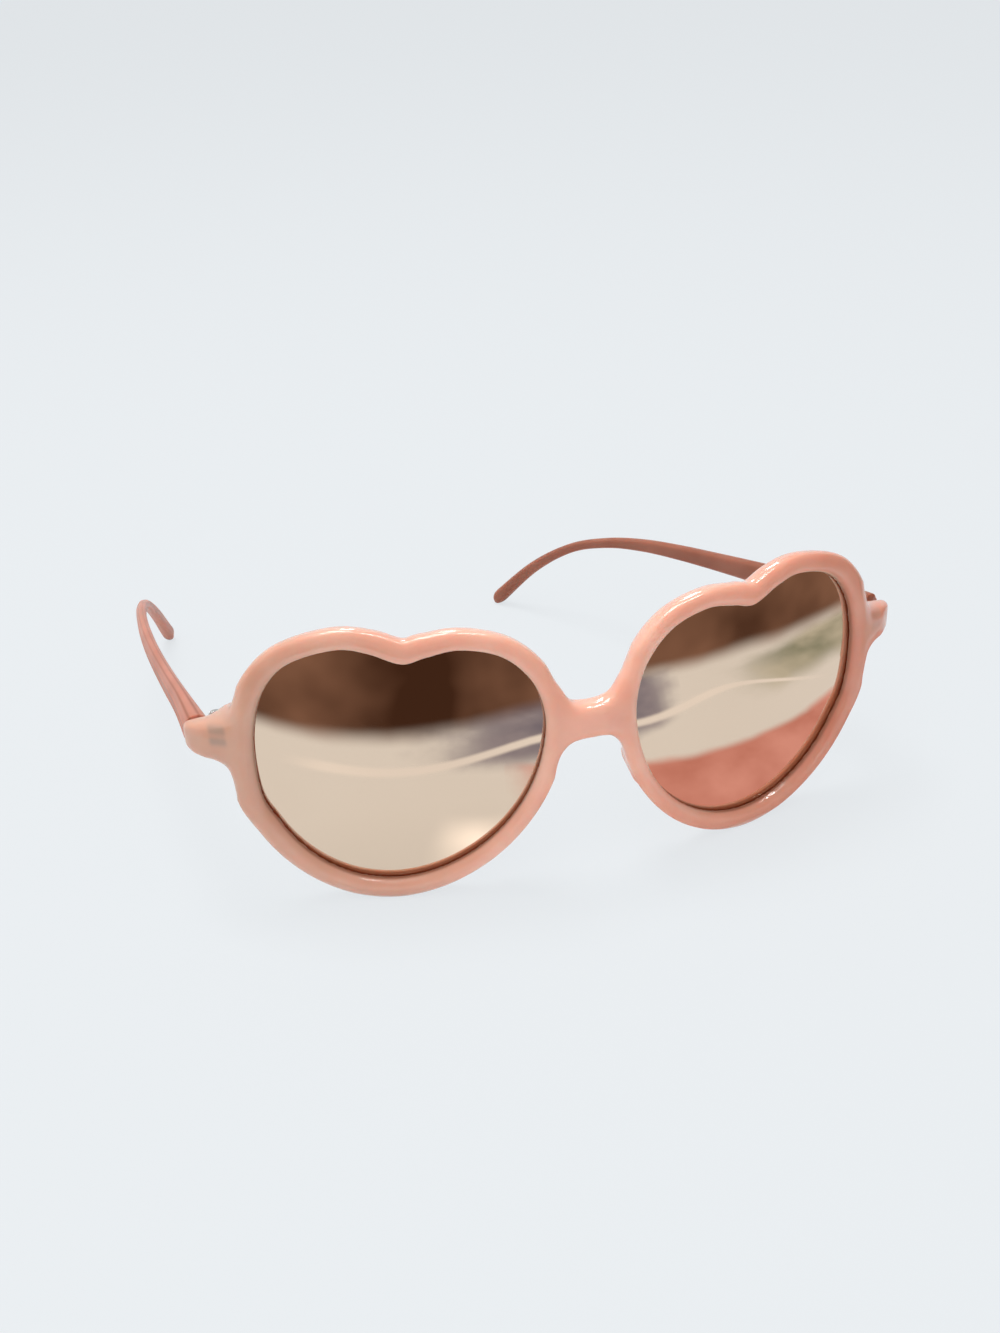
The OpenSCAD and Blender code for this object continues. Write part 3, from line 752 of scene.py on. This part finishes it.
# %% [markdown]
# ## The temples
# A temple follows a path: straight from the hinge, then down and inwards behind the ear. Its
# section keeps two raised lines along the outer face, which fade towards the tip. This is again
# a rule, so a second tree lofts it: each station carries its outward and upward directions, its
# thickness, its height and how far the lines stand out. The section carries a tone as well,
# which darkens the colour along the lines and in two streaks on the upper shoulder.

# %% The tree that lofts a temple
temple_tree, given = new_tree("temple_loft", {
    "Section": "Object", "Stations": "Int", "Section points": "Int", "Line height": "Float",
    "Finish": "Material"})
mesh, row, column = lay_grid(temple_tree, given["Stations"], given["Section points"])
position = add(temple_tree, "GeometryNodeInputPosition").outputs[0]
section = add(temple_tree, "GeometryNodeObjectInfo", {"Object": given["Section"]})
section = section.outputs["Geometry"]
point = add(temple_tree, "ShaderNodeSeparateXYZ",
            {0: taken(temple_tree, section, position, column)})


def of_station(name, kind):
    return taken(temple_tree, given["Geometry"], named(temple_tree, name, kind), row, kind)


across = calc(temple_tree, "MULTIPLY", point.outputs["X"], of_station("thick", "FLOAT"))
raised = calc(temple_tree, "MULTIPLY", point.outputs["Z"], of_station("line_share", "FLOAT"))
tone = taken(temple_tree, section, named(temple_tree, "tone", "FLOAT"), column, "FLOAT")
tone = calc(temple_tree, "MULTIPLY", tone, of_station("line_share", "FLOAT"))
mesh = add(temple_tree, "GeometryNodeStoreNamedAttribute",
           {"Geometry": mesh, "Name": "deep_tone", "Value": tone},
           data_type="FLOAT", domain="POINT").outputs[0]
raised = calc(temple_tree, "MULTIPLY", raised, given["Line height"])
across = calc(temple_tree, "ADD", across, raised)
rise = calc(temple_tree, "MULTIPLY", point.outputs["Y"], of_station("tall", "FLOAT"))
moved = vector_calc(temple_tree, "ADD", taken(temple_tree, given["Geometry"], position, row),
                    vector_calc(temple_tree, "SCALE", of_station("out", "FLOAT_VECTOR"), across))
moved = vector_calc(temple_tree, "ADD", moved,
                    vector_calc(temple_tree, "SCALE", of_station("up", "FLOAT_VECTOR"), rise))
close_and_paint(temple_tree, mesh, moved, given["Finish"])
print("temple tree has", len(temple_tree.nodes), "nodes")

# %% The temple's path and section
TEMPLE_LEN, TEMPLE_DROP, TEMPLE_BOW, TEMPLE_H, TEMPLE_T = 113.0, 35.5, 15.4, 6.4, 4.5
TEMPLE_RISE, LINE_H, BUTT_GAP, SPLAY = 0.2, 0.3, 0.12, math.radians(6)
DROP = [0, 0.02, 0.06, 0.1, 0.14, 0.18, 0.227, 0.3, 0.425, 0.655, 1]
TALL = [1, 0.97, 0.88, 0.77, 0.66, 0.57, 0.48, 0.39, 0.36, 0.435, 0.565]
THICK = [1, 0.69, 0.61, 0.57, 0.55, 0.52, 0.48, 0.46, 0.46, 0.52, 0.62]
SECTION = [(-0.5, -0.26, 0), (-0.32, -0.44, 0), (0, -0.5, 0), (0.3, -0.42, 0), (0.44, -0.27, 0),
           (0.46, -0.18, 1), (0.46, -0.09, 0), (0.46, 0.09, 0), (0.46, 0.18, 1), (0.44, 0.27, 0),
           (0.3, 0.42, 0), (0, 0.5, 0), (-0.32, 0.44, 0), (-0.5, 0.26, 0)]
TIP, PATH_STEP = 0.02, 0.01
EARLY_BOW, LATE_BOW, BOW_POWER = 0.05, 0.95, 3.5
BUTT_PLACES, BUTT_SIZES = [0, 0, 0.0004, 0.0015, 0.0035], [0, 0.955, 0.975, 0.992, 1]
LONG_ROWS, SECTION_POINTS, TONE_SPREAD = 120, 112, 0.2
TONE_LINES = [(5, 0.8), (8, 0.8), (10.2, 0.8), (11.5, 0.75)]


def temple_path(s):
    s = np.asarray(s, float)
    inwards = EARLY_BOW * s ** 2 + LATE_BOW * np.maximum(s, 0) ** BOW_POWER
    return np.stack([-TEMPLE_BOW * inwards, s * TEMPLE_LEN,
                     -TEMPLE_DROP * on_line(DROP, s)[:, 0]], 1)


temple_mid = end_side - TEMPLE_T / 2 - AXIS_X
butt_y = (BUTT_Y + BUTT_GAP - AXIS_Y + temple_mid * math.sin(SPLAY)) / math.cos(SPLAY)
butt = np.array([temple_mid, butt_y, TEMPLE_RISE])
over = np.sin(np.linspace(0, math.pi / 2, 14))[1:]
places = np.concatenate([BUTT_PLACES, np.linspace(0.006, 1 - TIP, LONG_ROWS), 1 - TIP * (1 - over)])
size = np.concatenate([BUTT_SIZES, np.ones(LONG_ROWS), np.sqrt(1 - np.clip(over, 0, 1) ** 2)])
run = temple_path(places + PATH_STEP) - temple_path(places - PATH_STEP)
run[places < 0.004] = [-math.sin(SPLAY), math.cos(SPLAY), 0]
run /= np.linalg.norm(run, axis=1)[:, None]
up = np.array([0, 0, 1.0]) - run * run[:, 2:3]
up /= np.linalg.norm(up, axis=1)[:, None]
steps = np.linalg.norm(np.diff(temple_path(places), axis=0), axis=1)
print("temple path", round(float(steps.sum()), 1), "mm along its curve")

# %% Loft both temples
POSE = {"left": -18.0, "right": 6.0}


def lofted_temple(name, side):
    cloud = point_cloud(name + "_stations", butt + temple_path(places),
                        out=np.cross(run, up), up=up,
                        tall=TEMPLE_H * on_line(TALL, places)[:, 0] * size,
                        thick=TEMPLE_T * on_line(THICK, places)[:, 0] * size,
                        line_share=(1 - places) * size)
    round_section = np.arange(SECTION_POINTS) / SECTION_POINTS * len(SECTION)
    outline = on_loop(SECTION, round_section / len(SECTION))
    tone = sum(depth * np.exp(-((round_section - row) / TONE_SPREAD) ** 2)
               for row, depth in TONE_LINES)
    shape = point_cloud(name + "_section", outline, tone=tone)
    mesh = made_by(cloud, temple_tree, Section=shape, Stations=len(places) - 1,
                   Section_points=len(outline), Line_height=LINE_H, Finish=temple_plastic)
    bpy.data.objects.remove(shape)
    turned = Matrix.Rotation(-math.radians(POSE[side]), 4, "Z")
    mesh.transform(Matrix.Translation((AXIS_X, AXIS_Y, END_Z)) @ turned)
    if side == "right":
        flip(mesh)
    mesh.transform(STAND)
    mesh.shade_smooth()
    mesh.set_sharp_from_angle(angle=math.radians(50))
    return as_piece(name, mesh)


left_temple = lofted_temple("temple_of_left", "left")
right_temple = lofted_temple("temple_of_right", "right")
for piece, node in ((left_temple, "temple_left"), (right_temple, "temple_right")):
    corners = np.array(piece.bound_box)
    cad_corners = np.array([list(corner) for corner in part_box(node)])
    apart = (np.array([corners.min(0), corners.max(0)]) - cad_corners) * 1000
    print(node, "against its CAD box, in mm:", apart.round(2).tolist())

# %% [markdown]
# ## Hinges and screws
# The hinge leaves are stamped and turned steel, and their CAD forms are right: knuckles, tongues
# and plates with the bore for the screw. What they lack are the small rounded edges that catch
# the light. So each is copied, its loose triangles are welded, and a Bevel modifier breaks the
# edges.

# %% Break the edges of the metal parts
HINGE_BEVEL, SCREW_BEVEL, WELD = 0.00008, 0.00006, 1e-6


def softened(node, material, width):
    mesh = frame["nodes"][node].data.copy()
    bm = bmesh.new()
    bm.from_mesh(mesh)
    bmesh.ops.remove_doubles(bm, verts=bm.verts, dist=WELD)
    bmesh.ops.dissolve_limit(bm, angle_limit=math.radians(1), verts=bm.verts, edges=bm.edges)
    bm.to_mesh(mesh)
    bm.free()
    piece = as_piece(node + "_metal", mesh)
    bevel = piece.modifiers.new("bevel", "BEVEL")
    bevel.width, bevel.segments, bevel.angle_limit = width, 2, math.radians(40)
    with_modifiers_applied(piece)
    piece.data.materials.clear()
    piece.data.materials.append(material)
    piece.data.shade_smooth()
    piece.data.set_sharp_from_angle(angle=math.radians(35))
    return piece


metal = {}
for side in ("left", "right"):
    metal["front_hinge_" + side] = softened("front_hinge_" + side, hinge_steel, HINGE_BEVEL)
    metal["temple_hinge_" + side] = softened("temple_hinge_" + side, hinge_steel, HINGE_BEVEL)
    metal["hinge_screw_" + side] = softened("hinge_screw_" + side, screw_steel, SCREW_BEVEL)
print("metal pieces:", {name: len(piece.data.polygons) for name, piece in metal.items()})

# %% [markdown]
# ## What moves with what
# Every piece rides on a CAD body and stands for its CAD node. The front carries the lenses, the
# front hinge leaves and the screws, and each temple carries its own leaf.

# %% Tie the pieces to the frame
dressed = [(front, "front", "front_frame", "front_plastic"),
           (left_lens, "front", "lens_left", "lens_mirror"),
           (right_lens, "front", "lens_right", "lens_mirror"),
           (left_temple, "left_temple", "temple_left", "temple_plastic"),
           (right_temple, "right_temple", "temple_right", "temple_plastic")]
for side in ("left", "right"):
    dressed += [(metal["front_hinge_" + side], "front", "front_hinge_" + side, "hinge_steel"),
                (metal["temple_hinge_" + side], side + "_temple", "temple_hinge_" + side,
                 "hinge_steel"),
                (metal["hinge_screw_" + side], "front", "hinge_screw_" + side, "screw_steel")]
for piece, body, node, slot in dressed:
    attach(piece, body)
    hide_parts(node)
print(len(dressed), "pieces ride on", sorted({body for _, body, _, _ in dressed}))

# %% [markdown]
# ## Floor, room and light
# The photograph has an even, pale, cool background. The floor and the world show that colour to
# the camera and in reflections, and the floor keeps a share of real shading, so that a soft
# shadow stays. The light is a pale world, a square ceiling lamp above the glasses and a large
# soft box from the front. The short white lines on the rims come from two cards further down.

# %% Floor and world
BACKGROUND, FLOOR_SHADING = (0.791, 0.823, 0.847, 1), 0.12


def shown_ray(tree):
    """1 for what the camera sees, directly or through gloss and glass."""
    rays = add(tree, "ShaderNodeLightPath").outputs
    seen = calc(tree, "MAXIMUM", rays["Is Camera Ray"], rays["Is Glossy Ray"])
    return calc(tree, "MAXIMUM", seen, rays["Is Transmission Ray"])


floor_paint, tree, shader = new_material("floor_paint")
settle(shader, Base_Color=BACKGROUND, Roughness=1.0, Specular_IOR_Level=0.0)
glow = add(tree, "ShaderNodeEmission", {"Color": BACKGROUND})
even_floor = add(tree, "ShaderNodeMixShader",
                 {0: FLOOR_SHADING, 1: glow.outputs[0], 2: shader.outputs[0]})
final = add(tree, "ShaderNodeMixShader",
            {0: shown_ray(tree), 1: shader.outputs[0], 2: even_floor.outputs[0]})
tree.links.new(final.outputs[0], tree.nodes["Material Output"].inputs[0])

bm = bmesh.new()
bmesh.ops.create_circle(bm, cap_ends=True, radius=4.0, segments=96)
floor_mesh = bpy.data.meshes.new("floor")
bm.to_mesh(floor_mesh)
bm.free()
floor_mesh.materials.append(floor_paint)
floor = as_piece("floor", floor_mesh)

world = bpy.data.worlds.new("room")
bpy.context.scene.world = world
world.use_nodes = True
tree = world.node_tree
room = tree.nodes["Background"]
settle(room, Color=(0.95, 0.97, 1.0, 1), Strength=0.55)
pale = add(tree, "ShaderNodeBackground", {"Color": BACKGROUND, "Strength": 1.0})
mix = add(tree, "ShaderNodeMixShader", {0: shown_ray(tree), 1: room.outputs[0], 2: pale.outputs[0]})
tree.links.new(mix.outputs[0], tree.nodes["World Output"].inputs[0])
print("floor radius 4 m, world strength", room.inputs["Strength"].default_value)

# %% [markdown]
# ## Cards for the mirrors
# A mirror only looks like one when it has something to reflect. Photographers stand cards just
# out of the picture. Here a dark brown one is bent round the front like a low wall. On the floor
# before it lie an indigo, a sage and a salmon one, a thin bright strip and a spot of glare. They
# have soft edges and show in reflections only, so the top of each lens goes dark, its middle
# stays pale, and one corner turns rosy. Two small bright cards, one overhead and one behind, draw
# the short white lights along the rims.

# %% Paint the cards
def card_paint(name, dark, light, fade, scale):
    """A glow that fades out at the edges of the UV square, in clouds of two tones."""
    material, tree, _ = new_material(name + "_paint")
    where = add(tree, "ShaderNodeTexCoord").outputs
    cloud = noise(tree, where["Object"], scale)
    sway = calc(tree, "MULTIPLY", calc(tree, "SUBTRACT", cloud, 0.5), 0.9)
    place = add(tree, "ShaderNodeSeparateXYZ", {0: where["UV"]}).outputs
    solid = 1.0
    for axis, (low, high) in zip("XY", fade):
        for width, value in ((low, place[axis]), (high, calc(tree, "SUBTRACT", 1.0, place[axis]))):
            shifted = calc(tree, "ADD", value, calc(tree, "MULTIPLY", sway, width))
            edge = ranged(tree, shifted, 0.0, width, interpolation_type="SMOOTHSTEP")
            solid = calc(tree, "MULTIPLY", edge, solid)
    tone = mixed(tree, ranged(tree, cloud, 0.35, 0.65), dark, light)
    glow = add(tree, "ShaderNodeEmission", {"Color": tone})
    clear = add(tree, "ShaderNodeBsdfTransparent")
    mix = add(tree, "ShaderNodeMixShader", {0: solid, 1: clear.outputs[0], 2: glow.outputs[0]})
    tree.links.new(mix.outputs[0], tree.nodes["Material Output"].inputs[0])
    return material


# %% Stand the cards
CARD_POINTS = 33


def soft_card(name, near, far, dark, light, fade, scale=22.0):
    """A strip between two rows of points. It glows in mirrors only."""
    n, even_places = CARD_POINTS, np.linspace(0, 1, CARD_POINTS)
    near, far = (on_line(np.array(row, float), even_places) for row in (near, far))
    mesh = bpy.data.meshes.new(name)
    faces = [(i, i + 1, i + n + 1, i + n) for i in range(n - 1)]
    mesh.from_pydata([*near.tolist(), *far.tolist()], [], faces)
    across = [(i / (n - 1), v) for v in (0, 1) for i in range(n)]
    uv = [c for loop in mesh.loops for c in across[loop.vertex_index]]
    mesh.uv_layers.new().data.foreach_set("uv", uv)
    mesh.materials.append(card_paint(name, dark, light, fade, scale))
    card = as_piece(name, mesh)
    card.visible_camera = card.visible_diffuse = False
    card.visible_transmission = card.visible_shadow = False


def lifted(row, height, back=0.0):
    """Places on the floor as points at a height, moved towards the viewer by a step."""
    return [(x, y - back, height) for x, y in row]


WALL_H, WALL_LEAN, STRIP_W = 0.3, 0.02, 0.008
LOW_CARD, MID_CARD, TOP_CARD = 0.001, 0.0015, 0.002
TUBE_DIM, TUBE_BRIGHT = 24.0, 24.0 * 1.08
foot = [(-0.24, -0.10), (-0.10, -0.108), (-0.045, -0.112), (0.0, -0.135), (0.05, -0.142),
        (0.085, -0.128), (0.118, -0.105), (0.15, -0.08), (0.20, -0.045), (0.26, 0.0), (0.30, 0.05)]
soft_card("brown_wall", lifted(foot, 0), lifted(foot, WALL_H, WALL_LEAN),
          (0.06, 0.027, 0.016, 1), (0.27, 0.15, 0.105, 1), [(0.02, 0.2), (0.035, 0.01)], 16.0)
soft_card("indigo_card", lifted([(-0.045, -0.098), (0.005, -0.094), (0.052, -0.098)], LOW_CARD),
          lifted([(-0.065, -0.146), (0.01, -0.17), (0.08, -0.15)], LOW_CARD),
          (0.21, 0.205, 0.28, 1), (0.32, 0.31, 0.38, 1), [(0.4, 0.15), (0.2, 0.2)], 50.0)
soft_card("sage_card", lifted([(0.07, -0.085), (0.11, -0.062), (0.15, -0.035)], LOW_CARD),
          lifted([(0.08, -0.13), (0.13, -0.105), (0.19, -0.06)], LOW_CARD),
          (0.30, 0.33, 0.26, 1), (0.55, 0.56, 0.48, 1), [(0.4, 0.3), (0.35, 0.3)], 40.0)
soft_card("salmon_card", lifted([(-0.013, -0.05), (0.06, -0.012), (0.115, -0.005)], MID_CARD),
          lifted([(-0.012, -0.104), (0.055, -0.077), (0.135, -0.043)], MID_CARD),
          (0.62, 0.26, 0.22, 1), (0.78, 0.38, 0.34, 1), [(0.14, 0.08), (0.16, 0.08)], 60.0)
strip = [(-0.085, -0.088), (-0.042, -0.092), (0.003, -0.11), (0.04, -0.102), (0.078, -0.097),
         (0.10, -0.06)]
soft_card("strip_card", lifted(strip, TOP_CARD), lifted(strip, TOP_CARD, STRIP_W),
          (0.86, 0.87, 0.89, 1), (0.98, 0.99, 1.0, 1), [(0.1, 0.1), (0.35, 0.35)], 9.0)
soft_card("glare_card", lifted([(-0.032, -0.057), (-0.004, -0.057)], TOP_CARD),
          lifted([(-0.032, -0.08), (-0.004, -0.08)], TOP_CARD),
          (1.5, 1.5, 1.5, 1), (1.7, 1.7, 1.7, 1), [(0.5, 0.5), (0.5, 0.5)])
for name, (x, y, z), wide, tall in (("top_tube", (0.27, -0.33, 0.97), 0.36, 0.16),
                                    ("back_tube", (0.22, 0.70, 0.90), 0.24, 0.50)):
    soft_card(name, [(x - wide / 2, y, z), (x + wide / 2, y, z)],
              [(x - wide / 2, y + tall, z), (x + wide / 2, y + tall, z)],
              (TUBE_DIM,) * 3 + (1,), (TUBE_BRIGHT,) * 3 + (1,), [(0.05, 0.05), (0.1, 0.1)])
cards = [o.name for o in bpy.context.scene.objects if o.name.endswith(("card", "tube", "wall"))]
print("cards:", cards)

# %% Lamps
def lamp(name, place, aim, size, watts, colour=(1, 1, 1)):
    light = bpy.data.lights.new(name, "AREA")
    light.shape, light.size, light.size_y = "RECTANGLE", *size
    light.energy, light.color = watts, colour
    piece = as_piece(name, light)
    piece.location = place
    piece.rotation_euler = (Vector(aim) - Vector(place)).to_track_quat("-Z", "Y").to_euler()


lamp("ceiling", (-0.15, 0.08, 0.98), (0, -0.03, 0.03), (0.4, 0.4), 6.0)
lamp("soft_box", (-0.35, -0.6, 1.05), (0, 0, 0.03), (0.9, 0.9), 6.0, (1.0, 0.98, 0.95))
bpy.context.scene.view_settings.view_transform = "Standard"
